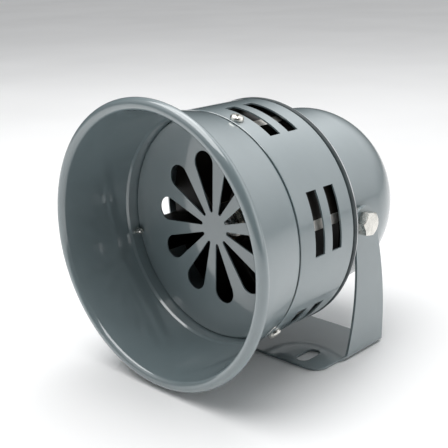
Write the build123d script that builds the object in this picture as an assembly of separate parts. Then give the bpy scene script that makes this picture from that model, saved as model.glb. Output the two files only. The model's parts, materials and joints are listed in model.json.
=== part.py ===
from build123d import *
import os
from math import cos, radians, sin

# Motor siren: a spun steel horn and a slotted drum in front, a domed motor cover behind,
# carried between the two arms of a bent steel bracket.  Millimetres.
# The origin is midway between the bracket's two slots, on its underside.  +Z is up.
# The mouth of the horn faces -Y, and the head tilts on two bolts that lie along X.

# ---- driving dimensions ------------------------------------------------------------
PIVOT_Y = 24.5              # tilt axis behind the slots
PIVOT_Z = 82.0              # tilt axis above the underside
SHEET = 1.0                 # sheet of the head's shells
FIT = 0.1                   # clearance between parts that meet
REACH = 8.0                 # how far a drill runs on past the sheets it goes through

# bracket
BRACKET_SHEET = 1.5
ARM_X = 59.5                # outer face of an arm
BEND = 3.0                  # outside bend radius
BASE_FRONT, BASE_REAR = -13.2, 47.3
EAR_RADIUS = 9.0
EAR_BACK = 5.4              # the ear's side runs back to here, then flares into the arm
FOOT_FRONT = 10.9           # front edge of the arm where the bend ends
SLOT_X = 38.9
SLOT_LENGTH, SLOT_WIDTH = 17.5, 8.8
ARM_TOP_RADIUS = 10.0
ARM_REAR_TOP = (9.4, 3.4)   # from the pivot: rear end of the arm's round top
ARM_REAR_BOW = (19.2, -30)  # from the pivot: middle of the arm's bowed rear edge
ARM_FRONT_BOW = (-5.75, -38)  # from the pivot: middle of the arm's hollow front edge

# stations of the head, forward from the tilt axis along the head's own axis
MOUTH = 108.7               # centre of the horn's rolled rim
SEAM = 68.7                 # the horn meets the drum
SCREW_RING = 63.7           # radial screws that hold horn and drum together
GRILLE = 61.7               # front face of the grille
SLEEVE_END = 57.7           # rear edge of the horn's sleeve inside the drum
GRILLE_BACK = 55.7          # rear edge of the grille's turned-back rim
DRUM_REAR = 21.7
GASKET_REAR = 18.7
PLATE_REAR = 17.2
FLANGE_REAR = 16.2
CAP_START = -19.3           # the cover's wall turns into its rounded end
CAP_DEPTH = 48.5

# radii of the head
RIM_OUTER = 80.0
RIM_ROLL = 3.3
DRUM_OUTER = 67.8
DRUM_INNER = DRUM_OUTER - SHEET
SLEEVE_OUTER = DRUM_INNER - FIT
GRILLE_OUTER = SLEEVE_OUTER - SHEET - FIT
GRILLE_BEND = 1.4
GASKET_OUTER = 68.2
PLATE_OUTER = 67.2
FLANGE_OUTER = 66.2
COVER_OUTER = 56.4
COVER_INNER = COVER_OUTER - SHEET
SCREW_CIRCLE = 61.3         # axial screws through the rear joint
SEAT_INNER = 58.3           # inner edge of the drum's flange and of the gasket
PLATE_BORE = 8.0            # the rear plate's hole for the shaft

# openings
PETALS, PETAL_PHASE = 10, 28.3
PETAL_TIP, PETAL_TIP_RADIUS = 10.25, 1.0
PETAL_END, PETAL_END_RADIUS = 37.4, 7.0
SLOT_GROUPS, GROUP_PHASE, GROUP_ANGLE = 6, 11.3, 29.75
SLOT_ROWS = (51.95, 37.35)  # centre stations of the two rows of sound slots
SLOT_HEIGHT = 8.1

# cable inlet below the cover: radii of the grommet and stations along its bore
CABLE_STATION, CABLE_HOLE, CABLE_BORE = 3.0, 6.0, 3.6
GROMMET_INNER, GROMMET_OUTER, GROMMET_CROWN = 8.0, 8.2, 7.6
GROMMET_LIP, GROMMET_RISE, GROMMET_NOSE = 2.4, 2.0, 3.2

# fasteners: (head radius, head height, length) for the screws, turns in degrees
SCREW_ANGLES = (72, 192, 312)
COVER_ANGLES = (45, 135, 225, 315)
M4, M4_HOLE, M4_NUT, M4_NUT_HEIGHT = 1.95, 2.1, 7.0, 3.2
BELL_SCREW = (3.75, 2.4, 6.6)
COVER_SCREW = (3.5, 2.2, 10.6)
MOUNT_SCREW = (3.5, 2.2, 5.8)
TIE_SCREW = (3.5, 2.2, 61.0)
BELL_SCREW_TURN = 30
BOLT_RADIUS, HEX_FLATS, BOLT_HEAD, BOLT_TURN = 4.0, 13.0, 5.3, 51
BOLT_END = 46.4             # inner end of a pivot bolt, from the head's axis
WELD_NUT = 6.5
SPACER_RADIUS = 8.5

# rotor
VANES, VANE_PHASE = 6, 7.6  # phase of the corner where a vane turns into its rim plate
VANE_PLATE_ANGLE = 20.0
VANE_INNER, HOOP_INNER = 13.0, 56.0
ROTOR_OUTER, ROTOR_SHEET = 64.0, 1.2
ROTOR_FRONT, ROTOR_BACK = 54.2, 29.7
SHAFT_RADIUS, SHAFT_FRONT, SHAFT_REAR, SHAFT_CHAMFER = 3.97, 51.5, -56.5, 0.8
HUB_SPIGOT, HUB_NECK, HUB_BOSS, HUB_FLANGE = 7.0, 8.0, 9.0, 12.0
HUB_FRONT = 44.4
WASHER_RADIUS, WASHER = 8.5, 1.4
THIN_NUT, THIN_NUT_TURN = 4.5, 10

# motor housing
MOTOR_OUTER, MOTOR_WALL, MOTOR_FACE = 38.0, 32.4, 4.0
CORE_FRONT, CORE_REAR = -2.0, -28.0
CORE_LENGTH, CORE_MIDDLE = CORE_FRONT - CORE_REAR, (CORE_FRONT + CORE_REAR) / 2
REAR_FACE = -47.0           # inner face of the rear bracket's end
REAR_END = REAR_FACE - 3.0  # outer face of the rear bracket's end
BEARING_OUTER, BEARING_BORE, BEARING_WIDTH = 11.0, 4.0, 7.0
RACE, SHIELD_DEPTH = 2.0, 0.4
HOUSING, HOUSING_STOP = 3.0, 1.2
MOUNT_CIRCLE, TIE_CIRCLE = 28.0, 34.6
TIE_ANGLES = (90, 270)
FRONT_VENT, REAR_VENT = 4.0, 3.5
FRONT_VENT_STATION, REAR_VENT_STATION = 5.6, -37.0

# field and armature
CORE_INNER, POLE_RADIUS, SHOE_OUTER, SHOE_ANGLE, POLE_NECK = 31.0, 18.6, 22.5, 104, 20.0
COIL_SIDE, COIL_HEIGHT, COIL_CORNER = 4.0, 4.0, 4.0
ARMATURE_RADIUS, ARMATURE_SLOTS = 18.0, 12
WIRE_CIRCLE, WIRE_SLOT, WIRE_MOUTH = 14.5, 2.0, 1.2
WINDING_INNER, WINDING_OUTER = 6.0, 16.5
COMMUTATOR_RADIUS, COMMUTATOR_LENGTH = 11.5, 11.0
GROOVE_WIDTH, GROOVE_DEPTH = 0.5, 0.8

# brush gear, stations outward from the head's axis
BRUSH_STATION, BRUSH, HOLDER = -41.0, 6.3, 9.0
BRUSH_END, HOLDER_START, HOLDER_END = 23.5, 14.0, 41.5
SPRING_RADIUS, SPRING_WIRE, SPRING_TURNS = 2.3, 0.4, 7
CAP_RADIUS, CAP_HOLE, CAP_THICKNESS = 6.0, 0.8, 2.5

# terminals, below the motor's axis
TERMINAL_TOP = 40.5
STRIP_WIDTH, STRIP, STRIP_REAR, FOOT_DEPTH = 20.0, 1.2, -24.0, 11.0
BLOCK_WIDTH, BLOCK_DEPTH, BLOCK_REAR, BLOCK_FRONT = 22.0, 8.8, -22.0, -6.0
WAYS, WELL, WELL_DEPTH, ENTRY, ENTRY_DEPTH = (-7, 0, 7), 2.2, 3.0, 1.5, 4.2
CLAMP_SCREW, CLAMP_HEIGHT, CLAMP_SLOT = 1.9, 2.4, 0.6

HEAD = Plane(origin=(0, PIVOT_Y, PIVOT_Z), x_dir=(1, 0, 0), z_dir=(0, -1, 0)).location


# ---- small tools -------------------------------------------------------------------
def save(name, *shapes):
    """Write one node whose solids are drawn in the part's own frame."""
    solids = [solid for shape in shapes for solid in shape.solids()]
    node = solids[0] if len(solids) == 1 else Compound(solids)
    node.label = name
    export_step(node, f"parts/{name}.step")


def save_head(name, *shapes):
    """Write a node that is drawn on the head's axis: Z forward from the tilt axis."""
    save(name, *[shape.moved(HEAD) for shape in shapes])


def turned(*corners):
    """Solid of revolution about Z from (radius, height) corners."""
    return revolve(Plane.XZ * Polygon(*corners, align=None), Axis.Z)


def ring(outer, inner, low, high):
    """A plain ring about Z."""
    return turned((inner, low), (outer, low), (outer, high), (inner, high))


def rod(radius, low, high):
    """A plain cylinder about Z."""
    return turned((0, low), (radius, low), (radius, high), (0, high))


def block(x_size, y_size, low, high):
    """A rectangular prism about Z."""
    return Pos(0, 0, (low + high) / 2) * Box(x_size, y_size, high - low)


def sector(inner, outer, low, high, angle):
    """Part of a ring about Z, from +X round through an angle."""
    section = Pos((inner + outer) / 2, (low + high) / 2) * Rectangle(outer - inner, high - low)
    return revolve(Plane.XZ * section, Axis.Z, angle)


def outward(angle, station=0):
    """Turn Z to point outward from the head's axis at an angle, at a station."""
    return Pos(0, 0, station) * Rot(0, 0, angle) * Rot(0, 90, 0)


def polar(radius, angles, station=0):
    """Locations on a circle about Z."""
    return [Pos(radius * cos(radians(a)), radius * sin(radians(a)), station) for a in angles]


def evenly(count, phase=0):
    """Rotations about Z that share out a full turn."""
    return [Rot(0, 0, phase + 360 / count * i) for i in range(count)]


def pair(shape, station=0):
    """A shape drawn outward from the head's axis along X, with its twin on the other side."""
    placed = outward(0, station) * shape
    return placed, Rot(0, 0, 180) * placed


def hexagon(flats, low, high, both_ends=False):
    """A hexagonal prism about Z with its corners turned off at the top, or at both ends."""
    corner = flats / 2 / cos(radians(30))
    crown = flats * 0.47
    drop = (corner - crown) * 0.58
    foot = crown if both_ends else corner
    blank = turned((0, low), (foot, low), (corner, low + drop), (corner, high - drop),
                   (crown, high), (0, high))
    prism = extrude(RegularPolygon(flats / 2, 6, major_radius=False), high - low)
    return (Pos(0, 0, low) * prism) & blank


def nut(flats, bore, low, high):
    """A plain hexagon nut about Z."""
    return hexagon(flats, low, high, both_ends=True) - rod(bore, low - REACH, high + REACH)


def pan_screw(head, rise, length):
    """An M4 pan-head cross-recess screw about Z, its head above zero and its shank below."""
    point = 0.5
    dome = turned((0, 0), (head, 0), (head, rise * 0.45), (head * 0.86, rise * 0.8),
                  (head * 0.5, rise), (0, rise))
    shank = turned((0, -length), (M4 - point, -length), (M4, point - length), (M4, FIT), (0, FIT))
    recess_length, recess_width, recess_depth = head * 1.1, head * 0.24, 1.3
    cross = block(recess_length, recess_width, rise - recess_depth, rise + recess_depth)
    cross += block(recess_width, recess_length, rise - recess_depth, rise + recess_depth)
    return dome + shank - cross


# ---- bracket -----------------------------------------------------------------------
def bracket_front_view():
    """The bent strip seen from the front."""
    top = PIVOT_Z + 2 * ARM_TOP_RADIUS
    outer = Pos(0, top / 2) * Rectangle(2 * ARM_X, top)
    outer = fillet(outer.vertices().group_by(Axis.Y)[0], BEND)
    inner = Pos(0, BRACKET_SHEET + top / 2) * Rectangle(2 * (ARM_X - BRACKET_SHEET), top)
    inner = fillet(inner.vertices().group_by(Axis.Y)[0], BEND - BRACKET_SHEET)
    return outer - inner


def from_pivot(back, up):
    """A point of the side view, given back and up from the pivot."""
    return PIVOT_Y + back, PIVOT_Z + up


def bracket_side_view():
    """The curved arm standing on the base, seen from the side."""
    front_top = from_pivot(-ARM_TOP_RADIUS, 0)
    rear_top = from_pivot(*ARM_REAR_TOP)
    foot = (FOOT_FRONT, BEND)
    heel = (BASE_REAR, 2 * BEND)
    below, ahead = -BRACKET_SHEET, BASE_FRONT - BRACKET_SHEET
    outline = [
        Polyline(foot, (EAR_BACK, BRACKET_SHEET), (ahead, BRACKET_SHEET), (ahead, below),
                 (BASE_REAR, below), heel),
        ThreePointArc(heel, from_pivot(*ARM_REAR_BOW), rear_top),
        ThreePointArc(rear_top, from_pivot(0, ARM_TOP_RADIUS), front_top),
        ThreePointArc(front_top, from_pivot(*ARM_FRONT_BOW), foot),
    ]
    return make_face([edge for line in outline for edge in line.edges()])


def bracket_plan_view():
    """The base seen from above, with two rounded ears and two slots."""
    flat = ARM_X - BEND
    ears = Pos(0, (BASE_FRONT + BASE_REAR) / 2) * Rectangle(2 * flat, BASE_REAR - BASE_FRONT)
    ears = fillet(ears.vertices().group_by(Axis.Y)[0], EAR_RADIUS)
    bends = Polygon((-flat, EAR_BACK), (flat, EAR_BACK), (ARM_X, FOOT_FRONT), (ARM_X, BASE_REAR),
                    (-ARM_X, BASE_REAR), (-ARM_X, FOOT_FRONT), align=None)
    slot = SlotOverall(SLOT_LENGTH, SLOT_WIDTH, rotation=90)
    return ears + bends - [Pos(x, 0) * slot for x in (-SLOT_X, SLOT_X)]


def mounting_bracket():
    """One strip of sheet bent into a wide U."""
    strip = extrude(Plane.XZ * bracket_front_view(), 2 * BASE_REAR, both=True)
    side = extrude(Plane.YZ * bracket_side_view(), 2 * ARM_X, both=True)
    plan = extrude(bracket_plan_view(), 2 * PIVOT_Z)
    hole = Pos(0, PIVOT_Y, PIVOT_Z) * Rot(0, 90, 0) * Cylinder(BOLT_RADIUS + FIT, 4 * ARM_X)
    return (strip & side & plan) - hole


# ---- pivot hardware ----------------------------------------------------------------
def pivot_bolts():
    """Hexagon bolts whose heads bear on the arms."""
    seat = ARM_X + FIT
    point = 0.7
    head = Rot(0, 0, BOLT_TURN) * hexagon(HEX_FLATS, seat, seat + BOLT_HEAD)
    shank = turned((0, BOLT_END), (BOLT_RADIUS - point, BOLT_END), (BOLT_RADIUS, BOLT_END + point),
                   (BOLT_RADIUS, seat + point), (0, seat + point))
    return pair(head + shank)


def pivot_spacers():
    """Saddle washers between the round cover and the flat arms."""
    face = ARM_X - BRACKET_SHEET - FIT
    cover = Rot(0, -90, 0) * rod(COVER_OUTER, -2 * SPACER_RADIUS, 2 * SPACER_RADIUS)
    return pair(ring(SPACER_RADIUS, BOLT_RADIUS + FIT, COVER_INNER, face) - cover)


def pivot_nuts():
    """Weld nuts on the inside of the cover, where its curve leaves them level."""
    sagitta = 0.6
    face = COVER_INNER - sagitta
    return pair(nut(HEX_FLATS, BOLT_RADIUS, face - WELD_NUT, face))


# ---- horn, grille and drum -----------------------------------------------------------
def radial_holes():
    """Three drills for the screws that hold horn and drum together."""
    drill = rod(M4_HOLE, DRUM_OUTER - REACH, DRUM_OUTER + REACH)
    return [outward(angle, SCREW_RING) * drill for angle in SCREW_ANGLES]


def axial_holes(radius=SCREW_CIRCLE):
    """Four drills through the rear joint, or on another circle of the rear plate."""
    drill = rod(M4_HOLE, FLANGE_REAR - REACH, DRUM_REAR + REACH)
    return [spot * drill for spot in polar(radius, COVER_ANGLES)]


def horn_bell():
    """A spun cone with a rolled rim, stepped in at the rear to fit inside the drum."""
    roll_centre = RIM_OUTER - RIM_ROLL
    mouth_inner = roll_centre - RIM_ROLL
    sleeve_inner = SLEEVE_OUTER - SHEET
    step, lead, throat = 0.5, 1.2, 0.7
    cone = turned((DRUM_INNER, SEAM + throat), (mouth_inner, MOUTH), (mouth_inner + 2 * SHEET, MOUTH),
                  (DRUM_OUTER, SEAM + lead), (DRUM_OUTER - step, SEAM), (SLEEVE_OUTER, SEAM),
                  (SLEEVE_OUTER, SLEEVE_END), (sleeve_inner, SLEEVE_END), (sleeve_inner, SEAM - throat))
    rim = Pos(0, 0, MOUTH) * Torus(roll_centre, RIM_ROLL)
    return cone + rim - radial_holes()


def petal():
    """One teardrop, pointing at the centre."""
    tip = Pos(PETAL_TIP, 0) * Circle(PETAL_TIP_RADIUS)
    end = Pos(PETAL_END, 0) * Circle(PETAL_END_RADIUS)
    return make_hull(tip.edges() + end.edges())


def front_grille():
    """A plate with its edge turned back, pierced by teardrop openings."""
    inner = GRILLE_OUTER - SHEET
    back = GRILLE - SHEET
    plate = turned((0, GRILLE), (GRILLE_OUTER, GRILLE), (GRILLE_OUTER, GRILLE_BACK),
                   (inner, GRILLE_BACK), (inner, back), (0, back))
    plate = fillet(plate.edges().filter_by(GeomType.CIRCLE).sort_by(Axis.Z)[-1], GRILLE_BEND)
    cutter = Pos(0, 0, GRILLE) * extrude(petal(), 4 * SHEET, both=True)
    return plate - [turn * cutter for turn in evenly(PETALS, PETAL_PHASE)]


def sound_slots():
    """Two rows of slots round the drum, as sectors to cut away."""
    start = GROUP_PHASE - GROUP_ANGLE / 2
    half = SLOT_HEIGHT / 2
    cuts = []
    for station in SLOT_ROWS:
        slot = sector(DRUM_INNER - SHEET, DRUM_OUTER + SHEET, station - half, station + half, GROUP_ANGLE)
        cuts += [turn * slot for turn in evenly(SLOT_GROUPS, start)]
    return cuts


def stator_drum():
    """The slotted drum, with a flange turned in at its rear."""
    front = SEAM - 0.5
    edge = 0.4
    shell = turned((DRUM_OUTER - edge, front), (DRUM_OUTER, front - edge), (DRUM_OUTER, DRUM_REAR),
                   (SEAT_INNER, DRUM_REAR), (SEAT_INNER, DRUM_REAR + SHEET),
                   (DRUM_INNER, DRUM_REAR + SHEET), (DRUM_INNER, front))
    return shell - sound_slots() - radial_holes() - axial_holes()


def bell_screws():
    """Radial screws through drum and horn, their tips standing out inside."""
    screw = Pos(0, 0, DRUM_OUTER + FIT / 2) * Rot(0, 0, BELL_SCREW_TURN) * pan_screw(*BELL_SCREW)
    return [outward(angle, SCREW_RING) * screw for angle in SCREW_ANGLES]


# ---- rear joint and motor cover --------------------------------------------------------
def rear_gasket():
    """Rubber ring between the drum and the rear plate."""
    return ring(GASKET_OUTER, SEAT_INNER, GASKET_REAR, DRUM_REAR) - axial_holes()


def rear_plate():
    """The plate that closes the drum and carries the motor."""
    plate = ring(PLATE_OUTER, PLATE_BORE, PLATE_REAR, GASKET_REAR)
    return plate - axial_holes() - axial_holes(MOUNT_CIRCLE)


def bullet(wall_radius, depth, front):
    """A straight wall with an elliptical end behind it, solid."""
    cap = EllipticalCenterArc((0, CAP_START), wall_radius, depth, start_angle=270, arc_size=90)
    sides = Polyline((wall_radius, CAP_START), (wall_radius, front), (0, front), (0, CAP_START - depth))
    return revolve(Plane.XZ * make_face(cap.edges() + sides.edges()), Axis.Z)


def motor_cover():
    """The deep-drawn cover over the motor, with a flange round its open end."""
    outer = bullet(COVER_OUTER, CAP_DEPTH, PLATE_REAR)
    inner = bullet(COVER_INNER, CAP_DEPTH - SHEET, PLATE_REAR + SHEET)
    flange = ring(FLANGE_OUTER, COVER_INNER, FLANGE_REAR, PLATE_REAR)
    pivot_hole = Rot(0, 90, 0) * Cylinder(BOLT_RADIUS + FIT, 3 * COVER_OUTER)
    cable_hole = outward(-90, CABLE_STATION) * rod(CABLE_HOLE, COVER_OUTER - REACH, COVER_OUTER + REACH)
    return outer + flange - inner - pivot_hole - cable_hole - axial_holes()


def cover_screws():
    """Axial screws that clamp cover, plate, gasket and drum together."""
    screw = Rot(180, 0, 0) * pan_screw(*COVER_SCREW)
    return [spot * screw for spot in polar(SCREW_CIRCLE, COVER_ANGLES, FLANGE_REAR)]


def cover_nuts():
    """Nuts on the drum's rear flange."""
    seat = DRUM_REAR + SHEET
    return [spot * nut(M4_NUT, M4, seat, seat + M4_NUT_HEIGHT) for spot in polar(SCREW_CIRCLE, COVER_ANGLES)]


def cable_grommet():
    """Rubber bush in the underside of the cover, for the supply cable."""
    inside = COVER_INNER - 0.7
    inner_end = COVER_INNER - GROMMET_LIP
    outside = COVER_OUTER + FIT
    bush = turned((CABLE_BORE, inner_end), (GROMMET_INNER, inner_end), (GROMMET_INNER, inside),
                  (CABLE_HOLE, inside), (CABLE_HOLE, outside), (GROMMET_OUTER, outside),
                  (GROMMET_CROWN, COVER_OUTER + GROMMET_RISE), (CABLE_BORE, COVER_OUTER + GROMMET_NOSE))
    return outward(-90, CABLE_STATION) * bush


# ---- motor housing ---------------------------------------------------------------------
def tie_holes():
    """Two drills along the motor for its long bolts."""
    drill = rod(M4_HOLE, REAR_END - REACH, PLATE_REAR - MOTOR_FACE + SHEET)
    return [spot * drill for spot in polar(TIE_CIRCLE, TIE_ANGLES)]


def vents(station, radius, angles):
    """Round air holes across a bracket's wall."""
    return [outward(angle, station) * Cylinder(radius, 3 * MOTOR_OUTER) for angle in angles]


def bearing_housing(seat, mouth):
    """The cup that holds a bearing, with a shoulder behind it."""
    outer = BEARING_OUTER + HOUSING
    return [ring(outer, BEARING_OUTER, seat - HOUSING_STOP, mouth),
            ring(outer, BEARING_BORE + RACE, seat - HOUSING_STOP, seat)]


def motor_front_bracket():
    """Cast end bracket: mounting face, bearing housing and a wall back to the field core."""
    casting = ring(MOTOR_OUTER, BEARING_OUTER, PLATE_REAR - MOTOR_FACE, PLATE_REAR)
    casting += ring(MOTOR_OUTER, MOTOR_WALL, CORE_FRONT, PLATE_REAR)
    casting += bearing_housing(PLATE_REAR - BEARING_WIDTH, PLATE_REAR)
    openings = vents(FRONT_VENT_STATION, FRONT_VENT, (0, 45, 135)) + tie_holes()
    return casting - openings - axial_holes(MOUNT_CIRCLE)


def motor_rear_bracket():
    """Cast end bracket with the rear bearing, pierced for the two brush holders."""
    casting = ring(MOTOR_OUTER, BEARING_OUTER, REAR_END, REAR_FACE)
    casting += ring(MOTOR_OUTER, MOTOR_WALL, REAR_END, CORE_REAR)
    casting += bearing_housing(REAR_FACE - BEARING_WIDTH, REAR_FACE)
    window = outward(0, BRUSH_STATION) * Box(HOLDER + FIT, HOLDER + FIT, 3 * MOTOR_OUTER)
    return casting - window - vents(REAR_VENT_STATION, REAR_VENT, (45, 135)) - tie_holes()


def bearing(rear):
    """A shielded ball bearing, its shields set back from the races."""
    front = rear + BEARING_WIDTH
    inner, outer = BEARING_BORE + RACE, BEARING_OUTER - RACE
    rear_shield, front_shield = rear + SHIELD_DEPTH, front - SHIELD_DEPTH
    return turned((BEARING_BORE, rear), (inner, rear), (inner, rear_shield), (outer, rear_shield),
                  (outer, rear), (BEARING_OUTER, rear), (BEARING_OUTER, front), (outer, front),
                  (outer, front_shield), (inner, front_shield), (inner, front), (BEARING_BORE, front))


def motor_tie_bolts():
    """Long screws that clamp the two brackets on the field core."""
    screw = Rot(180, 0, 0) * pan_screw(*TIE_SCREW)
    return [spot * screw for spot in polar(TIE_CIRCLE, TIE_ANGLES, REAR_END)]


def motor_mount_screws():
    """Screws that hold the motor on the rear plate."""
    return [spot * pan_screw(*MOUNT_SCREW) for spot in polar(MOUNT_CIRCLE, COVER_ANGLES, GASKET_REAR)]


# ---- field -------------------------------------------------------------------------------
def field_core():
    """Laminated ring with two poles."""
    core = ring(MOTOR_OUTER, CORE_INNER, CORE_REAR, CORE_FRONT)
    shoe = sector(POLE_RADIUS, SHOE_OUTER, CORE_REAR, CORE_FRONT, SHOE_ANGLE)
    neck_height = CORE_INNER - SHOE_OUTER + 2 * SHEET
    neck = Pos(0, (CORE_INNER + SHOE_OUTER) / 2, CORE_MIDDLE) * Box(POLE_NECK, neck_height, CORE_LENGTH)
    pole = Rot(0, 0, 90 - SHOE_ANGLE / 2) * shoe + neck
    return core + pole + Rot(0, 0, 180) * pole - tie_holes()


def field_coils():
    """Enamelled wire wound round each pole's neck."""
    play = 4 * FIT
    width, length = POLE_NECK + play, CORE_LENGTH + play
    wound = RectangleRounded(width + 2 * COIL_SIDE, length + 2 * COIL_SIDE, COIL_CORNER)
    stand = Pos(0, SHOE_OUTER + play, CORE_MIDDLE) * Rot(-90, 0, 0)
    coil = stand * extrude(wound - Rectangle(width, length), COIL_HEIGHT)
    return coil, Rot(0, 0, 180) * coil


# ---- armature ------------------------------------------------------------------------------
def armature_shaft():
    """The motor's shaft, which carries the siren's rotor at its front end."""
    end = SHAFT_RADIUS - SHAFT_CHAMFER
    return turned((0, SHAFT_REAR), (end, SHAFT_REAR), (SHAFT_RADIUS, SHAFT_REAR + SHAFT_CHAMFER),
                  (SHAFT_RADIUS, SHAFT_FRONT - SHAFT_CHAMFER), (end, SHAFT_FRONT), (0, SHAFT_FRONT))


def armature_core():
    """Laminated drum with round wire slots that open at its edge."""
    slot = Pos(WIRE_CIRCLE, 0, 0) * rod(WIRE_SLOT, CORE_REAR, CORE_FRONT)
    mouth = Pos(ARMATURE_RADIUS, 0, 0) * block(2 * WIRE_SLOT, WIRE_MOUTH, CORE_REAR, CORE_FRONT)
    body = ring(ARMATURE_RADIUS, SHAFT_RADIUS, CORE_REAR, CORE_FRONT)
    return body - [turn * (slot + mouth) for turn in evenly(ARMATURE_SLOTS)]


def end_turns(face, way):
    """Bunched wire beyond one face of the core."""
    inner, outer = WINDING_INNER, WINDING_OUTER
    return turned((inner, face), (outer, face), (outer - 0.5, face + 3 * way),
                  (outer - 3.5, face + 5.5 * way), (inner + 1, face + 6 * way))


def armature_windings():
    """Wire in the slots, with its end turns in front and behind."""
    wire = Pos(WIRE_CIRCLE, 0, 0) * rod(WIRE_SLOT - FIT, CORE_REAR, CORE_FRONT)
    ends = end_turns(CORE_FRONT, 1) + end_turns(CORE_REAR, -1)
    return ends + [turn * wire for turn in evenly(ARMATURE_SLOTS)]


def commutator():
    """Copper segments on the shaft, parted by narrow grooves."""
    low, high = BRUSH_STATION - COMMUTATOR_LENGTH / 2, BRUSH_STATION + COMMUTATOR_LENGTH / 2
    body = ring(COMMUTATOR_RADIUS, SHAFT_RADIUS, low, high)
    groove = Pos(COMMUTATOR_RADIUS, 0, 0) * block(2 * GROOVE_DEPTH, GROOVE_WIDTH, low, high)
    return body - [turn * groove for turn in evenly(ARMATURE_SLOTS, 15)]


# ---- brush gear ------------------------------------------------------------------------------
def brush_holders():
    """Square brass tubes that guide the brushes."""
    bore = BRUSH + 2 * FIT
    tube = block(HOLDER, HOLDER, HOLDER_START, HOLDER_END)
    return pair(tube - block(bore, bore, HOLDER_START - SHEET, HOLDER_END + SHEET), BRUSH_STATION)


def carbon_brushes():
    """Carbon blocks, hollowed to the commutator's curve."""
    carbon = block(BRUSH, BRUSH, COMMUTATOR_RADIUS - SHEET, BRUSH_END)
    running_face = Rot(0, 90, 0) * rod(COMMUTATOR_RADIUS + 0.03, -HOLDER, HOLDER)
    return pair(carbon - running_face, BRUSH_STATION)


def brush_springs():
    """Coil springs that push the brushes in."""
    height = HOLDER_END - BRUSH_END - 2 * SPRING_WIRE
    path = Helix(pitch=height / SPRING_TURNS, height=height, radius=SPRING_RADIUS)
    coil = sweep(Plane(path @ 0, z_dir=path % 0) * Circle(SPRING_WIRE), path=path, is_frenet=True)
    return pair(Pos(0, 0, BRUSH_END + SPRING_WIRE) * coil, BRUSH_STATION)


def brush_caps():
    """Moulded caps that close the holders."""
    return pair(ring(CAP_RADIUS, CAP_HOLE, HOLDER_END, HOLDER_END + CAP_THICKNESS), BRUSH_STATION)


# ---- terminals -------------------------------------------------------------------------------
def terminal_bracket():
    """A bent strip behind the rear plate, below the motor."""
    tongue = Pos(0, -TERMINAL_TOP - STRIP / 2, 0) * block(STRIP_WIDTH, STRIP, STRIP_REAR, PLATE_REAR)
    foot = Pos(0, -TERMINAL_TOP - FOOT_DEPTH / 2, 0)
    return tongue + foot * block(STRIP_WIDTH, FOOT_DEPTH, PLATE_REAR - STRIP, PLATE_REAR)


def terminal_block():
    """A three-way block on the strip, with a well and a wire entry for each way."""
    top = -TERMINAL_TOP - STRIP
    bottom = top - BLOCK_DEPTH
    middle = (BLOCK_REAR + BLOCK_FRONT) / 2
    body = Pos(0, (top + bottom) / 2, 0) * block(BLOCK_WIDTH, BLOCK_DEPTH, BLOCK_REAR, BLOCK_FRONT)
    well = Pos(0, bottom, middle) * Rot(90, 0, 0) * Cylinder(WELL, 2 * WELL_DEPTH)
    entry = Pos(0, -TERMINAL_TOP - ENTRY_DEPTH, 0) * rod(ENTRY, BLOCK_REAR - REACH, BLOCK_FRONT + REACH)
    return body - [Pos(x, 0, 0) * (well + entry) for x in WAYS]


def terminal_screws():
    """Slotted clamping screws in the block's wells."""
    slot = Pos(0, 0, CLAMP_HEIGHT) * Box(3 * CLAMP_SCREW, CLAMP_SLOT, 2 * GROOVE_DEPTH)
    screw = rod(CLAMP_SCREW, 0, CLAMP_HEIGHT) - slot
    floor = -TERMINAL_TOP - STRIP - BLOCK_DEPTH + WELL_DEPTH
    middle = (BLOCK_REAR + BLOCK_FRONT) / 2
    return [Pos(x, floor - FIT, middle) * Rot(90, 0, 0) * screw for x in WAYS]


# ---- siren rotor -----------------------------------------------------------------------------
def siren_rotor():
    """A pressed wheel: back disc, front hoop, and vanes that each turn into a plate at the rim."""
    disc = ring(ROTOR_OUTER, HUB_SPIGOT, ROTOR_BACK, ROTOR_BACK + ROTOR_SHEET)
    hoop = ring(ROTOR_OUTER, HOOP_INNER, ROTOR_FRONT - ROTOR_SHEET, ROTOR_FRONT)
    inside = ROTOR_OUTER - ROTOR_SHEET
    wall = block(inside - VANE_INNER, ROTOR_SHEET, ROTOR_BACK, ROTOR_FRONT)
    wall = Pos((inside + VANE_INNER) / 2, ROTOR_SHEET / 2, 0) * wall
    plate = sector(inside, ROTOR_OUTER, ROTOR_BACK, ROTOR_FRONT, VANE_PLATE_ANGLE)
    return disc + hoop + [turn * (wall + plate) for turn in evenly(VANES, VANE_PHASE)]


def rotor_hub():
    """Brass hub riveted through the rotor's disc."""
    front = ROTOR_BACK + ROTOR_SHEET
    boss, flange = ROTOR_BACK - 2, front + 2
    return turned((SHAFT_RADIUS, boss), (HUB_BOSS, boss), (HUB_BOSS, ROTOR_BACK),
                  (HUB_SPIGOT, ROTOR_BACK), (HUB_SPIGOT, front), (HUB_FLANGE, front),
                  (HUB_FLANGE, flange), (HUB_NECK, flange), (HUB_NECK, HUB_FRONT), (SHAFT_RADIUS, HUB_FRONT))


def rotor_washer():
    """Plain washer in front of the hub."""
    return ring(WASHER_RADIUS, SHAFT_RADIUS + FIT, HUB_FRONT, HUB_FRONT + WASHER)


def rotor_nut():
    """Thin nut on the shaft's front end."""
    seat = HUB_FRONT + WASHER
    return Rot(0, 0, THIN_NUT_TURN) * nut(HEX_FLATS, SHAFT_RADIUS, seat, seat + THIN_NUT)


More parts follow.
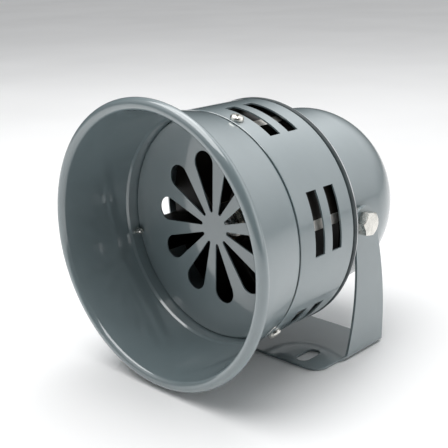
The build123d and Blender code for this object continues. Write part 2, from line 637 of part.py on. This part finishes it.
# ---- the nodes -------------------------------------------------------------------------------
def main():
    os.makedirs("parts", exist_ok=True)
    save("mounting_bracket", mounting_bracket())
    save_head("pivot_bolts", *pivot_bolts())
    save_head("pivot_spacers", *pivot_spacers())
    save_head("pivot_nuts", *pivot_nuts())
    save_head("horn_bell", horn_bell())
    save_head("front_grille", front_grille())
    save_head("stator_drum", stator_drum())
    save_head("bell_screws", *bell_screws())
    save_head("rear_gasket", rear_gasket())
    save_head("rear_plate", rear_plate())
    save_head("motor_cover", motor_cover())
    save_head("cover_screws", *cover_screws())
    save_head("cover_nuts", *cover_nuts())
    save_head("cable_grommet", cable_grommet())
    save_head("motor_front_bracket", motor_front_bracket())
    save_head("motor_rear_bracket", motor_rear_bracket())
    save_head("front_bearing", bearing(PLATE_REAR - BEARING_WIDTH))
    save_head("rear_bearing", bearing(REAR_FACE - BEARING_WIDTH))
    save_head("motor_tie_bolts", *motor_tie_bolts())
    save_head("motor_mount_screws", *motor_mount_screws())
    save_head("field_core", field_core())
    save_head("field_coils", *field_coils())
    save_head("armature_shaft", armature_shaft())
    save_head("armature_core", armature_core())
    save_head("armature_windings", armature_windings())
    save_head("commutator", commutator())
    save_head("brush_holders", *brush_holders())
    save_head("carbon_brushes", *carbon_brushes())
    save_head("brush_springs", *brush_springs())
    save_head("brush_caps", *brush_caps())
    save_head("terminal_bracket", terminal_bracket())
    save_head("terminal_block", terminal_block())
    save_head("terminal_screws", *terminal_screws())
    save_head("siren_rotor", siren_rotor())
    save_head("rotor_hub", rotor_hub())
    save_head("rotor_washer", rotor_washer())
    save_head("rotor_nut", rotor_nut())


main()
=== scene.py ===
import json
from math import asin, atan2, cos, degrees, pi, radians, sin, tan

import bmesh
import bpy
from mathutils import Matrix, Vector


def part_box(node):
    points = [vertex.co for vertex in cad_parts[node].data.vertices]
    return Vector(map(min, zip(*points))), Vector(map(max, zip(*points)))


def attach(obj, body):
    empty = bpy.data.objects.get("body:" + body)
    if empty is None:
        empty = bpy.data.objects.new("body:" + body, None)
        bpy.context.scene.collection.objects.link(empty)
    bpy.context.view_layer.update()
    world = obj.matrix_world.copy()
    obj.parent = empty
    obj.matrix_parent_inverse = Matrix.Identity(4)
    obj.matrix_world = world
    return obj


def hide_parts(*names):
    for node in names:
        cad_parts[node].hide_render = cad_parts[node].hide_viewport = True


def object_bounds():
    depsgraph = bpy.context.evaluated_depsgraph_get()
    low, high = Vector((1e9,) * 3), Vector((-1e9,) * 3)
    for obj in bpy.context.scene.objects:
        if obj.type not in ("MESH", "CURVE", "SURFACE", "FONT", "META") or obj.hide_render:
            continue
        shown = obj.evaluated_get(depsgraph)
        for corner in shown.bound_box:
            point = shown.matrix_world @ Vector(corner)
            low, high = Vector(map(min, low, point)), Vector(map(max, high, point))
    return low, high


# Motor siren in grey enamel.  Metres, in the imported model's frame.  The head's own frame
# has Z forward along the horn's axis, from the tilt axis; stations are measured on it.

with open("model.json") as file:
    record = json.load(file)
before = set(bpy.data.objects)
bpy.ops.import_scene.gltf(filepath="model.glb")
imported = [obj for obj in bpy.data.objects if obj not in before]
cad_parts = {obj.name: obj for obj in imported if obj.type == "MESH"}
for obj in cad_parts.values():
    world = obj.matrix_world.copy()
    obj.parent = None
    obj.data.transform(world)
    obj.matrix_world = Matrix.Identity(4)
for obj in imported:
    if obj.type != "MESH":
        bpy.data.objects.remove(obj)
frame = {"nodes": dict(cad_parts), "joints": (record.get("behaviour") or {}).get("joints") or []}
CAD_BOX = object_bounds()

MM = 0.001
SHEET = 1.0 * MM
TILT = Vector(next(j["pos_m"] for j in frame["joints"] if j["name"] == "head_tilt"))
HEAD = Matrix.Translation(TILT) @ Matrix.Rotation(radians(90), 4, "X")
ROUND_STEPS = 240

# camera, seen from the tilt axis
AZIMUTH, ELEVATION, ROLL = 43.24, 19.19, -1.37  # degrees
CAMERA_OFFSET = Vector((326.04, -395.73, 147.48)) * MM
LENS, SHIFT_X, SHIFT_Y = 69.556, -0.01346, 0.06475

# openings in the drum and the grille, as angles round the axis in degrees
SLOT_GROUPS, GROUP_PHASE, GROUP_ANGLE = 6, 11.3, 29.75
SLOT_ROWS, SLOT_HEIGHT = (51.95 * MM, 37.35 * MM), 8.1 * MM
PETALS, PETAL_PHASE = 10, 28.3
PETAL_TIP, PETAL_TIP_RADIUS = 10.25 * MM, 1.0 * MM
PETAL_END, PETAL_END_RADIUS = 37.4 * MM, 7.0 * MM

# the rotor's vanes, as angles in degrees; the last is the width of the painted highlight strip at each
# vane's rim corner
VANES, VANE_PHASE, PAINTED_HIGHLIGHT_ANGLE = 6, 7.6, 5.0

# radii and stations of the horn's rolled rim, the rear joint and the motor cover
RIM_ROLL = 3.3 * MM
ROLL_START, ROLL_END, ROLL_STEPS = -145, 180, 40
SEAT_RADIUS = 58.3 * MM
COVER_RADIUS, COVER_CAP_START, COVER_DRAW = 56.4 * MM, -19.3 * MM, 1.6 * MM

# studio
FLOOR_RADIUS, FLOOR_GAP = 6.0, 0.2 * MM


# ---- materials -----------------------------------------------------------------------
class Shader:
    """A Principled material whose colour, roughness and bump come from procedural nodes."""

    def __init__(self, name):
        self.material = bpy.data.materials.new(name)
        self.material.use_nodes = True
        self.nodes = self.material.node_tree.nodes
        self.links = self.material.node_tree.links
        self.shader = self.nodes["Principled BSDF"]
        self.place = self.nodes.new("ShaderNodeTexCoord").outputs["Object"]
        self.normal = None

    def set(self, **values):
        for key, value in values.items():
            self.shader.inputs[key.replace("_", " ")].default_value = value
        return self

    def stretched(self, scale):
        mapping = self.nodes.new("ShaderNodeMapping")
        mapping.inputs["Scale"].default_value = scale
        self.links.new(self.place, mapping.inputs["Vector"])
        return mapping.outputs["Vector"]

    def noise(self, scale, detail=3.0, stretch=None):
        node = self.nodes.new("ShaderNodeTexNoise")
        node.inputs["Scale"].default_value = scale
        node.inputs["Detail"].default_value = detail
        self.links.new(self.stretched(stretch) if stretch else self.place, node.inputs["Vector"])
        return node.outputs["Fac"]

    def bands(self, scale, direction, distortion=0.0):
        node = self.nodes.new("ShaderNodeTexWave")
        node.bands_direction = direction
        node.inputs["Scale"].default_value = scale
        node.inputs["Distortion"].default_value = distortion
        self.links.new(self.place, node.inputs["Vector"])
        return node.outputs["Fac"]

    def colour(self, pattern, first, second, low=0.35, high=0.65):
        ramp = self.nodes.new("ShaderNodeValToRGB")
        ramp.color_ramp.elements[0].position = low
        ramp.color_ramp.elements[1].position = high
        ramp.color_ramp.elements[0].color = (*first, 1)
        ramp.color_ramp.elements[1].color = (*second, 1)
        self.links.new(pattern, ramp.inputs["Fac"])
        self.links.new(ramp.outputs["Color"], self.shader.inputs["Base Color"])
        return self

    def roughness(self, pattern, low, high):
        spread = self.nodes.new("ShaderNodeMapRange")
        spread.inputs["To Min"].default_value = low
        spread.inputs["To Max"].default_value = high
        self.links.new(pattern, spread.inputs["Value"])
        self.links.new(spread.outputs["Result"], self.shader.inputs["Roughness"])
        return self

    def bump(self, pattern, depth, strength=1.0):
        node = self.nodes.new("ShaderNodeBump")
        node.inputs["Distance"].default_value = depth
        node.inputs["Strength"].default_value = strength
        self.links.new(pattern, node.inputs["Height"])
        if self.normal:
            self.links.new(self.normal, node.inputs["Normal"])
        self.normal = node.outputs["Normal"]
        self.links.new(self.normal, self.shader.inputs["Normal"])
        return self


def enamel(name, light, dark):
    """Sprayed gloss enamel: a faint cloudiness and a fine orange peel under a clear gloss."""
    paint = Shader(name)
    paint.colour(paint.noise(28, 4), dark, light, 0.3, 0.7)
    paint.roughness(paint.noise(90, 2), 0.30, 0.40)
    paint.bump(paint.noise(650, 2), 0.012 * MM, 0.5)
    paint.set(Coat_Weight=1.0, Coat_Roughness=0.07, Coat_IOR=1.85)
    return paint.material


def bright_steel():
    """Nickel-bright fasteners with fine turning marks."""
    steel = Shader("bright_steel")
    steel.colour(steel.noise(300, 3), (0.62, 0.61, 0.57), (0.82, 0.80, 0.75))
    steel.roughness(steel.noise(900, 4), 0.16, 0.34)
    steel.bump(steel.noise(1500, 4), 0.01 * MM, 0.5)
    steel.set(Metallic=1.0)
    return steel.material


def plated_sheet():
    """Zinc-plated sheet with a soft spangle."""
    sheet = Shader("plated_sheet")
    sheet.colour(sheet.noise(120, 4), (0.42, 0.43, 0.44), (0.60, 0.61, 0.62))
    sheet.roughness(sheet.noise(240, 3), 0.28, 0.45)
    sheet.bump(sheet.noise(900, 3), 0.01 * MM, 0.4)
    sheet.set(Metallic=1.0)
    return sheet.material


def rubber():
    """Moulded rubber, almost black with a dusty bloom."""
    soft = Shader("gasket_rubber")
    soft.colour(soft.noise(160, 5), (0.030, 0.042, 0.045), (0.050, 0.066, 0.070))
    soft.roughness(soft.noise(300, 4), 0.42, 0.6)
    soft.bump(soft.noise(1400, 5), 0.03 * MM, 0.6)
    soft.set(Specular_IOR_Level=0.45)
    return soft.material


def painted_shade_sheet():
    """Aluminium sheet painted near black, faintly brown: painted shade for the rotor, which is seen only
    in the dark behind the drum's slots and the grille's petals.
    """
    sheet = Shader("blackened_aluminium")
    sheet.colour(sheet.noise(60, 5), (0.006, 0.005, 0.004), (0.016, 0.013, 0.010))
    sheet.roughness(sheet.noise(300, 4), 0.28, 0.5)
    sheet.bump(sheet.noise(900, 4), 0.02 * MM, 0.5)
    sheet.set(Specular_IOR_Level=0.3)
    return sheet.material


def painted_highlight_sheet():
    """Bright metal brushed along the rim: a painted highlight for the lit edge of each vane."""
    sheet = Shader("painted_highlight_aluminium")
    sheet.colour(sheet.noise(90, 5), (0.52, 0.50, 0.46), (0.76, 0.75, 0.72))
    sheet.roughness(sheet.noise(400, 4, (1, 8, 1)), 0.3, 0.5)
    sheet.bump(sheet.noise(900, 4, (1, 8, 1)), 0.02 * MM, 0.5)
    sheet.set(Metallic=0.9)
    return sheet.material


def cast_aluminium():
    """Die-cast brackets with a grainy skin."""
    cast = Shader("cast_aluminium")
    cast.colour(cast.noise(180, 5), (0.36, 0.37, 0.38), (0.52, 0.53, 0.54))
    cast.roughness(cast.noise(320, 4), 0.45, 0.65)
    cast.bump(cast.noise(700, 5), 0.05 * MM, 0.7)
    cast.set(Metallic=0.9)
    return cast.material


def laminations():
    """Stacked electrical sheet, seen as fine lines across the stack."""
    stack = Shader("laminated_steel")
    stack.colour(stack.bands(300, "Y"), (0.10, 0.10, 0.11), (0.24, 0.24, 0.25), 0.2, 0.8)
    stack.roughness(stack.noise(250, 3), 0.4, 0.6)
    stack.bump(stack.bands(300, "Y"), 0.05 * MM, 0.8)
    stack.set(Metallic=0.85)
    return stack.material


def enamelled_wire():
    """Varnished copper wire lying in bunches."""
    wire = Shader("enamelled_wire")
    wire.colour(wire.noise(220, 4), (0.28, 0.08, 0.03), (0.52, 0.19, 0.07))
    wire.roughness(wire.noise(500, 3), 0.22, 0.42)
    wire.bump(wire.bands(420, "DIAGONAL", 3.0), 0.18 * MM, 0.9)
    wire.set(Metallic=0.6, Coat_Weight=0.5, Coat_Roughness=0.15)
    return wire.material


def turned_metal(name, first, second, low, high):
    """Machined metal with turning lines round the head's axis."""
    metal = Shader(name)
    metal.colour(metal.noise(200, 4), first, second)
    metal.roughness(metal.noise(500, 3), low, high)
    metal.bump(metal.bands(900, "Y"), 0.01 * MM, 0.5)
    metal.set(Metallic=1.0)
    return metal.material


def carbon():
    """Pressed carbon, dull with a graphite sheen."""
    block = Shader("brush_carbon")
    block.colour(block.noise(500, 5), (0.015, 0.015, 0.017), (0.045, 0.045, 0.050))
    block.roughness(block.noise(700, 4), 0.5, 0.75)
    block.bump(block.noise(1800, 4), 0.02 * MM, 0.6)
    return block.material


def moulded_plastic():
    """Black moulded plastic with a fine spark-eroded grain."""
    plastic = Shader("black_plastic")
    plastic.colour(plastic.noise(150, 3), (0.012, 0.012, 0.013), (0.026, 0.026, 0.028))
    plastic.roughness(plastic.noise(420, 3), 0.38, 0.55)
    plastic.bump(plastic.noise(2200, 2), 0.02 * MM, 0.6)
    return plastic.material


ENAMEL = enamel("grey_enamel", (0.188, 0.238, 0.252), (0.165, 0.212, 0.226))
STEEL = bright_steel()
PLATED = plated_sheet()
RUBBER = rubber()
# near-black painted shade for the rotor inside the drum
PAINTED_SHADE_BLACK = painted_shade_sheet()
# bright painted highlight for the rotor's vane edges at the rim
PAINTED_HIGHLIGHT = painted_highlight_sheet()
CAST = cast_aluminium()
LAMINATED = laminations()
WIRE = enamelled_wire()
BRASS = turned_metal("turned_brass", (0.52, 0.34, 0.12), (0.70, 0.50, 0.22), 0.2, 0.36)
COPPER = turned_metal("commutator_copper", (0.50, 0.22, 0.12), (0.68, 0.34, 0.20), 0.22, 0.4)
GROUND = turned_metal("ground_steel", (0.50, 0.50, 0.51), (0.66, 0.66, 0.67), 0.12, 0.24)
CARBON = carbon()
PLASTIC = moulded_plastic()


# ---- outlines and meshes -----------------------------------------------------------------
def rounded(corners, steps=5):
    """Closed outline through (x, y, radius) corners, each rounded to its radius."""
    outline = []
    for index, (x, y, radius) in enumerate(corners):
        here = Vector((x, y))
        back = (Vector(corners[index - 1][:2]) - here).normalized()
        ahead = (Vector(corners[(index + 1) % len(corners)][:2]) - here).normalized()
        half = back.angle(ahead) / 2
        if radius == 0 or pi / 2 - half < 0.01:
            outline.append(here)
            continue
        centre = here + (back + ahead).normalized() * radius / sin(half)
        start = (here + back * radius / tan(half) - centre).normalized()
        end = (here + ahead * radius / tan(half) - centre).normalized()
        outline += [centre + start.slerp(end, step / steps) * radius for step in range(steps + 1)]
    return outline


def arc(centre_x, centre_y, radius, start, end, steps):
    """Points on an arc, with angles in degrees."""
    angles = [radians(start + (end - start) * step / steps) for step in range(steps + 1)]
    return [Vector((centre_x + radius * cos(a), centre_y + radius * sin(a))) for a in angles]


def lathe(profile):
    """Turn a closed outline of (radius, station) points round the head's axis."""
    bm = bmesh.new()
    turn = [2 * pi * k / ROUND_STEPS for k in range(ROUND_STEPS)]
    rings = []
    for radius, station in profile:
        if radius < 0.01 * MM:
            rings.append([bm.verts.new((0, 0, station))] * ROUND_STEPS)
        else:
            rings.append([bm.verts.new((radius * cos(a), radius * sin(a), station)) for a in turn])
    for low, high in zip(rings, rings[1:] + rings[:1]):
        for k in range(ROUND_STEPS):
            face = [low[k], low[k - 1], high[k - 1], high[k]]
            corners = list(dict.fromkeys(face))
            if len(corners) > 2:
                bm.faces.new(corners)
    bmesh.ops.recalc_face_normals(bm, faces=bm.faces)
    bm.transform(HEAD)
    return bm


def finish_mesh(obj):
    """Smooth shading that breaks only at real edges, with flat faces kept flat."""
    obj.data.shade_smooth()
    obj.data.set_sharp_from_angle(angle=radians(35))
    weighted = obj.modifiers.new("flat_faces", "WEIGHTED_NORMAL")
    weighted.keep_sharp = True


def piece(name, bm, body, material, stands_for):
    """Make a mesh object, put it on its body and let it stand for CAD nodes."""
    mesh = bpy.data.meshes.new(name)
    bm.to_mesh(mesh)
    bm.free()
    obj = bpy.data.objects.new(name, mesh)
    bpy.context.scene.collection.objects.link(obj)
    mesh.materials.append(material)
    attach(obj, body)
    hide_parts(*stands_for)
    return obj


def soften(obj, width):
    """Break an object's hard edges with a small round."""
    bevel = obj.modifiers.new("soft_edges", "BEVEL")
    bevel.width = width
    bevel.segments = 2
    bevel.limit_method = "ANGLE"
    bevel.angle_limit = radians(30)
    bevel.use_clamp_overlap = True


def softened_copy(name, node, body, material, width, cuts=()):
    """A node's own shape with its flat faces merged, cut at angles of the axis, and its edges rounded."""
    bm = bmesh.new()
    bm.from_mesh(frame["nodes"][node].data)
    bmesh.ops.remove_doubles(bm, verts=bm.verts, dist=0.002 * MM)
    bmesh.ops.dissolve_limit(bm, angle_limit=radians(1), verts=bm.verts, edges=bm.edges)
    for angle in cuts:
        across = Vector((-sin(radians(angle)), cos(radians(angle)), 0))
        geometry = bm.verts[:] + bm.edges[:] + bm.faces[:]
        bmesh.ops.bisect_plane(bm, geom=geometry, plane_co=TILT, plane_no=HEAD.to_3x3() @ across)
    obj = piece(name, bm, body, material, [node])
    soften(obj, width)
    finish_mesh(obj)
    return obj


def stations(node):
    """Rear and front stations of a node on the head's axis, and its outer radius."""
    low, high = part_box(node)
    return TILT.y - high.y, TILT.y - low.y, high.x


# ---- horn ----------------------------------------------------------------------------------
def horn_shell():
    """Spun cone with a rolled rim in front and a stepped sleeve that enters the drum."""
    rear, front, outer = stations("horn_bell")
    drum_front, drum_outer = stations("stator_drum")[1:]
    seam = drum_front + 0.5 * MM
    neck = drum_outer - SHEET
    sleeve = neck - 0.1 * MM
    curl = arc(outer - RIM_ROLL, front - RIM_ROLL, RIM_ROLL, ROLL_START, ROLL_END, ROLL_STEPS)
    inner = [(neck + 0.3 * MM, seam + 2.4 * MM), (neck - 0.1 * MM, seam + 0.6 * MM)]
    inside = rounded([(*curl[-1], 0), (*inner[0], 3 * MM), (*inner[1], 0.6 * MM),
                      (sleeve - SHEET, seam - 0.8 * MM, 0.7 * MM), (sleeve - SHEET, rear, 0.2 * MM),
                      (sleeve, rear, 0.2 * MM), (sleeve, seam, 0),
                      (drum_outer - 0.5 * MM, seam, 0.4 * MM), (drum_outer, seam + 1.2 * MM, 0.8 * MM),
                      (*curl[0], 0)])
    shell = piece("horn_shell", lathe(curl[1:-1] + inside), "head", ENAMEL, ["horn_bell"])
    finish_mesh(shell)


# ---- grille --------------------------------------------------------------------------------
def petal(angle):
    """Outline of one teardrop opening, its point toward the centre."""
    lean = asin((PETAL_END_RADIUS - PETAL_TIP_RADIUS) / (PETAL_END - PETAL_TIP))
    side = 90 + degrees(lean)
    outline = arc(PETAL_END, 0, PETAL_END_RADIUS, -side, side, 28)
    outline += arc(PETAL_TIP, 0, PETAL_TIP_RADIUS, side, 360 - side, 8)
    turn = Matrix.Rotation(radians(angle), 2)
    return [turn @ point for point in outline]


def flat_plate(outlines):
    """A flat mesh bounded by the first outline and pierced by the others."""
    curve = bpy.data.curves.new("outline", "CURVE")
    curve.dimensions = "2D"
    curve.fill_mode = "BOTH"
    for outline in outlines:
        spline = curve.splines.new("POLY")
        spline.points.add(len(outline) - 1)
        for point, place in zip(spline.points, outline):
            point.co = (place.x, place.y, 0, 1)
        spline.use_cyclic_u = True
    sketch = bpy.data.objects.new("outline", curve)
    bm = bmesh.new()
    bm.from_mesh(bpy.data.meshes.new_from_object(sketch))
    bpy.data.objects.remove(sketch)
    bpy.data.curves.remove(curve)
    bmesh.ops.remove_doubles(bm, verts=bm.verts, dist=0.001 * MM)
    return bm


def grille_plate():
    """Flat disc pierced by teardrops, its edge bent back to fit inside the horn's sleeve."""
    rear, front, outer = stations("front_grille")
    bend = 1.4 * MM
    edge = outer - bend
    circle = arc(0, 0, edge, 0, 360, 180)[:-1]
    petals = [petal(PETAL_PHASE + 360 / PETALS * k) for k in range(PETALS)]
    bm = flat_plate([circle] + petals)
    bmesh.ops.translate(bm, verts=bm.verts, vec=(0, 0, front))
    bmesh.ops.dissolve_limit(bm, angle_limit=radians(1), verts=bm.verts, edges=bm.edges)
    rim = [e for e in bm.edges if e.is_boundary and e.verts[0].co.xy.length > edge - 0.1 * MM]
    path = arc(edge, front - bend, bend, 90, 0, 6)[1:] + [Vector((outer, rear))]
    for radius, station in path:
        made = bmesh.ops.extrude_edge_only(bm, edges=rim)["geom"]
        rim = [e for e in made if isinstance(e, bmesh.types.BMEdge)]
        for vert in {v for e in rim for v in e.verts}:
            flat = vert.co.xy.normalized() * radius
            vert.co = (flat.x, flat.y, station)
    bmesh.ops.recalc_face_normals(bm, faces=bm.faces)
    bm.transform(HEAD)
    plate = piece("grille_plate", bm, "head", ENAMEL, ["front_grille"])
    front_face = max(plate.data.polygons, key=lambda face: face.area)
    thickness = plate.modifiers.new("sheet", "SOLIDIFY")
    thickness.thickness = SHEET
    thickness.offset = -1 if front_face.normal.y < 0 else 1
    thickness.use_even_offset = True
    soften(plate, 0.22 * MM)
    finish_mesh(plate)


# ---- drum ------------------------------------------------------------------------------------
def drum_angles():
    """Angles round the drum that meet every slot's ends, and whether a slot follows each."""
    solid_angle = 360 / SLOT_GROUPS - GROUP_ANGLE
    angles = []
    for group in range(SLOT_GROUPS):
        start = GROUP_PHASE - GROUP_ANGLE / 2 + 360 / SLOT_GROUPS * group
        angles += [(start + GROUP_ANGLE * k / 16, True) for k in range(16)]
        angles += [(start + GROUP_ANGLE + solid_angle * k / 16, False) for k in range(16)]
    return angles


def drum_path(rear, front, outer):
    """Outer line of the drum from its front edge to the flange turned in at its rear."""
    half = SLOT_HEIGHT / 2
    rows = [(front - 0.4 * MM, False)]
    for row in SLOT_ROWS:
        rows += [(row + half, True), (row - half, False)]
    bend = 1.2 * MM
    path = [(outer - 0.3 * MM, front, False)]
    path += [(outer, station, slotted) for station, slotted in rows]
    path += [(point.x, point.y, False) for point in arc(outer - bend, rear + bend, bend, 0, -90, 6)]
    return path + [(SEAT_RADIUS, rear, False)]


def siren_drum():
    """Slotted drum of thin sheet, built as a grid with the slots left open."""
    rear, front, outer = stations("stator_drum")
    angles, path = drum_angles(), drum_path(rear, front, outer)
    bm = bmesh.new()
    rings = []
    for radius, station, _ in path:
        places = [(radius * cos(radians(a)), radius * sin(radians(a)), station) for a, _ in angles]
        rings.append([bm.verts.new(place) for place in places])
    for ahead, behind, (_, _, slotted) in zip(rings, rings[1:], path):
        for k, (_, in_group) in enumerate(angles):
            if slotted and in_group:
                continue
            following = (k + 1) % len(angles)
            bm.faces.new((ahead[k], behind[k], behind[following], ahead[following]))
    bmesh.ops.recalc_face_normals(bm, faces=bm.faces)
    bm.transform(HEAD)
    drum = piece("siren_drum", bm, "head", ENAMEL, ["stator_drum"])
    outward = sum(face.normal.dot(face.center - TILT) for face in drum.data.polygons)
    thickness = drum.modifiers.new("sheet", "SOLIDIFY")
    thickness.thickness = SHEET
    thickness.offset = -1 if outward > 0 else 1
    thickness.use_even_offset = True
    soften(drum, 0.22 * MM)
    finish_mesh(drum)


# ---- rear of the head ---------------------------------------------------------------------------
def gasket_ring():
    """Rubber gasket between drum and rear plate, its outer edge rounded."""
    rear, front, outer = stations("rear_gasket")
    sharp, soft = 0.2 * MM, 0.9 * MM
    outline = rounded([(SEAT_RADIUS, rear, sharp), (outer, rear, soft),
                       (outer, front, soft), (SEAT_RADIUS, front, sharp)])
    ring = piece("gasket_ring", lathe(outline), "head", RUBBER, ["rear_gasket"])
    finish_mesh(ring)


def cover_shell():
    """Deep-drawn cover: a flange, a straight wall and a rounded end."""
    rear, front, flange = stations("motor_cover")
    inner, wall = COVER_RADIUS - SHEET, COVER_RADIUS + COVER_DRAW
    seat = front - SHEET
    depth = COVER_CAP_START - rear
    quarter = [radians(angle) for angle in range(0, 91, 3)]
    foot = arc(wall, seat - COVER_DRAW, COVER_DRAW, 90, 180, 6)
    crown = [Vector((COVER_RADIUS * cos(a), COVER_CAP_START - depth * sin(a))) for a in quarter]
    inside = [Vector((inner * cos(a), COVER_CAP_START - (depth - SHEET) * sin(a)))
              for a in reversed(quarter)]
    edge = rounded([(flange, front, 0.3 * MM), (flange, seat, 0.3 * MM), (wall, seat, 0)])[:-1]
    outline = edge + foot + crown + inside + [Vector((inner, front))]
    cover = piece("cover_shell", lathe(outline), "head", ENAMEL, ["motor_cover"])
    finish_mesh(cover)


# ---- bracket and hardware --------------------------------------------------------------------------
def hardware():
    """Parts whose own shape is right, with their edges broken."""
    softened_copy("bracket_strip", "mounting_bracket", "bracket", ENAMEL, 0.28 * MM)
    softened_copy("tilt_bolts", "pivot_bolts", "head", STEEL, 0.18 * MM)
    softened_copy("joint_screws", "bell_screws", "head", STEEL, 0.08 * MM)


def rotor_wheel():
    """The wheel in near-black painted shade, with a painted highlight of bright metal where each vane
    turns into its plate at the rim.
    """
    cuts = [VANE_PHASE + PAINTED_HIGHLIGHT_ANGLE + 360 / VANES * k for k in range(VANES // 2)]
    wheel = softened_copy("rotor_wheel", "siren_rotor", "rotor", PAINTED_SHADE_BLACK,
                          0.15 * MM, cuts)
    wheel.data.materials.append(PAINTED_HIGHLIGHT)
    outer = stations("siren_rotor")[2]
    for face in wheel.data.polygons:
        spot = HEAD.inverted() @ face.center
        past_corner = (degrees(atan2(spot.y, spot.x)) - VANE_PHASE) % (360 / VANES)
        # faces in the painted highlight strip at the rim take the bright metal
        if past_corner < PAINTED_HIGHLIGHT_ANGLE and spot.xy.length > outer - 0.5 * MM:
            face.material_index = 1


CAD_LOOKS = {
    STEEL: ("pivot_spacers", "pivot_nuts", "cover_screws", "cover_nuts", "motor_tie_bolts",
            "motor_mount_screws", "rotor_washer", "rotor_nut"),
    PLATED: ("rear_plate", "terminal_bracket"),
    RUBBER: ("cable_grommet",),
    CAST: ("motor_front_bracket", "motor_rear_bracket"),
    GROUND: ("front_bearing", "rear_bearing", "armature_shaft", "brush_springs"),
    LAMINATED: ("field_core", "armature_core"),
    WIRE: ("field_coils", "armature_windings"),
    COPPER: ("commutator",),
    BRASS: ("brush_holders", "rotor_hub", "terminal_screws"),
    CARBON: ("carbon_brushes",),
    PLASTIC: ("brush_caps", "terminal_block"),
}


def dress_nodes():
    """Give every node that stays visible its material."""
    for material, names in CAD_LOOKS.items():
        for name in names:
            for slot in frame["nodes"][name].material_slots:
                slot.material = material


# ---- stage -----------------------------------------------------------------------------------------
def floor():
    """A wide pale floor."""
    bm = bmesh.new()
    bmesh.ops.create_circle(bm, cap_ends=True, radius=FLOOR_RADIUS, segments=96)
    mesh = bpy.data.meshes.new("floor")
    bm.to_mesh(mesh)
    bm.free()
    obj = bpy.data.objects.new("floor", mesh)
    bpy.context.scene.collection.objects.link(obj)
    obj.location.z = CAD_BOX[0][2] - FLOOR_GAP
    paper = Shader("floor_paper")
    paper.colour(paper.noise(3, 2), (0.90, 0.90, 0.90), (0.94, 0.94, 0.94))
    paper.roughness(paper.noise(8, 2), 0.7, 0.8)
    mesh.materials.append(paper.material)


def toward(azimuth, elevation):
    """Unit vector at angles in degrees: azimuth from the front toward the siren's left side."""
    azimuth, elevation = radians(azimuth), radians(elevation)
    across = cos(elevation)
    return Vector((sin(azimuth) * across, -cos(azimuth) * across, sin(elevation)))


def softbox(name, direction, distance, size, power):
    """A square area light that faces the siren."""
    lamp = bpy.data.lights.new(name, "AREA")
    lamp.shape = "SQUARE"
    lamp.size = size
    lamp.energy = power
    obj = bpy.data.objects.new(name, lamp)
    bpy.context.scene.collection.objects.link(obj)
    obj.location = TILT + direction * distance
    obj.rotation_euler = (-direction).to_track_quat("-Z", "Y").to_euler()


def sky(world, glows):
    """Strength of the sky: broad glows, each fading away from its own direction."""
    nodes, links = world.node_tree.nodes, world.node_tree.links
    way = nodes.new("ShaderNodeTexCoord").outputs["Generated"]
    total = None
    for direction, spread, strength in glows:
        facing = nodes.new("ShaderNodeVectorMath")
        facing.operation = "DOT_PRODUCT"
        facing.inputs[1].default_value = direction
        links.new(way, facing.inputs[0])
        last = facing.outputs["Value"]
        for operation, value in (("MAXIMUM", 0), ("POWER", spread), ("MULTIPLY", strength)):
            step = nodes.new("ShaderNodeMath")
            step.operation = operation
            step.inputs[1].default_value = value
            links.new(last, step.inputs[0])
            last = step.outputs["Value"]
        if total:
            joined = nodes.new("ShaderNodeMath")
            links.new(total, joined.inputs[0])
            links.new(last, joined.inputs[1])
            last = joined.outputs["Value"]
        total = last
    return total


def light():
    """A studio with a plain white backdrop: broad glows behind and on both sides, a softbox above."""
    world = bpy.data.worlds.new("studio")
    bpy.context.scene.world = world
    world.use_nodes = True
    nodes, links = world.node_tree.nodes, world.node_tree.links
    seen, lit = nodes["Background"], nodes.new("ShaderNodeBackground")
    seen.inputs["Color"].default_value = (1, 1, 1, 1)
    seen.inputs["Strength"].default_value = 1.0
    lit.inputs["Color"].default_value = (0.98, 0.99, 1.0, 1)
    glows = [(toward(122, 12), 8, 1.5), (toward(170, 35), 8, 1.3), (toward(212, 52), 14, 1.6),
             (toward(-40, 42), 10, 1.1)]
    links.new(sky(world, glows), lit.inputs["Strength"])
    mix, path = nodes.new("ShaderNodeMixShader"), nodes.new("ShaderNodeLightPath")
    links.new(path.outputs["Is Camera Ray"], mix.inputs["Fac"])
    links.new(lit.outputs["Background"], mix.inputs[1])
    links.new(seen.outputs["Background"], mix.inputs[2])
    links.new(mix.outputs["Shader"], nodes["World Output"].inputs["Surface"])
    softbox("top_box", toward(-30, 80), 1.3, 1.4, 21)


def camera():
    """The camera at the viewing angle, with its small shift."""
    lens = bpy.data.cameras.new("camera")
    lens.lens, lens.sensor_width = LENS, 36
    lens.shift_x, lens.shift_y = SHIFT_X, SHIFT_Y
    lens.clip_start, lens.clip_end = 0.01, 50
    obj = bpy.data.objects.new("camera", lens)
    bpy.context.scene.collection.objects.link(obj)
    back = toward(AZIMUTH, ELEVATION)
    right = Vector((cos(radians(AZIMUTH)), sin(radians(AZIMUTH)), 0))
    up = back.cross(right)
    turned, tipped = cos(radians(ROLL)), sin(radians(ROLL))
    right, up = turned * right + tipped * up, turned * up - tipped * right
    turn = Matrix((right, up, back)).transposed().to_4x4()
    obj.matrix_world = Matrix.Translation(TILT + CAMERA_OFFSET) @ turn
    bpy.context.scene.camera = obj
    bpy.context.scene.view_settings.view_transform = "Standard"


camera()
floor()
light()
horn_shell()
grille_plate()
siren_drum()
gasket_ring()
cover_shell()
hardware()
rotor_wheel()
dress_nodes()
